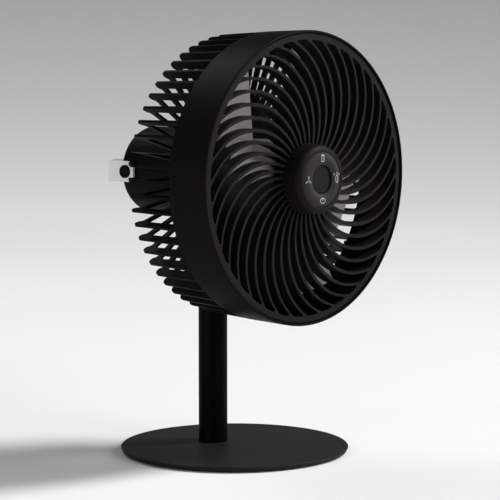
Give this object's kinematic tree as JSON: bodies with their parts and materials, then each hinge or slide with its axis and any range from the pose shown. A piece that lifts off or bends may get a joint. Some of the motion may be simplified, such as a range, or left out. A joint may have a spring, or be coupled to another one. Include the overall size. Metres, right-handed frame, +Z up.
{
  "type": "cordless table fan",
  "caption": "Cordless table fan: round shroud with swirled front grille, finned rear cage and battery housing with carry strap, tilting on a slim pole over a flat round base.",
  "frame": {"origin": "centre of the round base, on the underside of its rubber pad", "axes": "+Z up along the pole; the fan blows towards -Y; the carry strap is at the back, towards +Y"},
  "size_m": [0.22, 0.2026, 0.3249],
  "materials": {
    "black_plastic": "fine satin, very slightly warm black",
    "dial_plastic": "smooth satin",
    "blade_plastic": "pale satin",
    "strap_rubber": "pale matte",
    "base_paint": "fine powder coat",
    "pole_paint": "satin black",
    "black_metal": "satin black",
    "rubber": "matte",
    "steel": "plain",
    "alloy": "plain",
    "cell": "wrapped",
    "copper": "enamelled wire",
    "magnet": "plain",
    "board": "green board",
    "white_plastic": "plain",
    "lead_rubber": "plain"
  },
  "bodies": {
    "stand": {"base_plate": "base_paint", "foot_pad": "rubber", "base_screws": "steel", "pole_plug": "alloy", "pole_tube": "pole_paint", "tilt_knuckle": "black_metal"},
    "head": {"friction_washers": "white_plastic", "hinge_bolt": "black_metal", "hinge_nut": "black_metal", "shroud_ring": "black_plastic", "front_grille": "black_plastic", "rear_cage": "black_plastic", "cage_screws": "black_metal", "control_pod": "black_plastic", "symbol_ring": "dial_plastic", "switch_body": "black_plastic", "control_board": "board", "pod_screws": "steel", "motor_housing": "black_plastic", "bulkhead": "alloy", "bulkhead_screws": "steel", "pack_spacer": "white_plastic", "main_board": "board", "battery_holder_front": "white_plastic", "battery_holder_rear": "white_plastic", "battery_cells": "cell", "charge_socket": "steel", "charge_board": "board", "axle_tube": "steel", "axle_nut": "steel", "stator_carrier": "alloy", "carrier_screws": "steel", "stator_core": "steel", "stator_coils": "copper", "signal_lead": "lead_rubber", "carry_strap": "strap_rubber", "strap_studs": "black_plastic"},
    "impeller": {"impeller": "blade_plastic", "hub_cap": "blade_plastic", "front_bearing": "steel", "rear_bearing": "steel", "magnet_ring": "magnet"},
    "button": {"power_button": "dial_plastic", "switch_plunger": "white_plastic"}
  },
  "joints": [
    {"name": "head_tilt", "type": "hinge", "parent": "stand", "child": "head", "pos_m": [0, 0.0234, 0.1679], "axis": [-1, 0, 0], "range_deg": [-5, 30]},
    {"name": "impeller_spin", "type": "hinge", "parent": "head", "child": "impeller", "pos_m": [0, -0.0416, 0.2149], "axis": [0, 1, 0], "continuous": true},
    {"name": "button_press", "type": "slide", "parent": "head", "child": "button", "axis": [0, 1, 0], "range_m": [0, 0.0008], "stiffness_N_per_m": 1500}
  ]
}
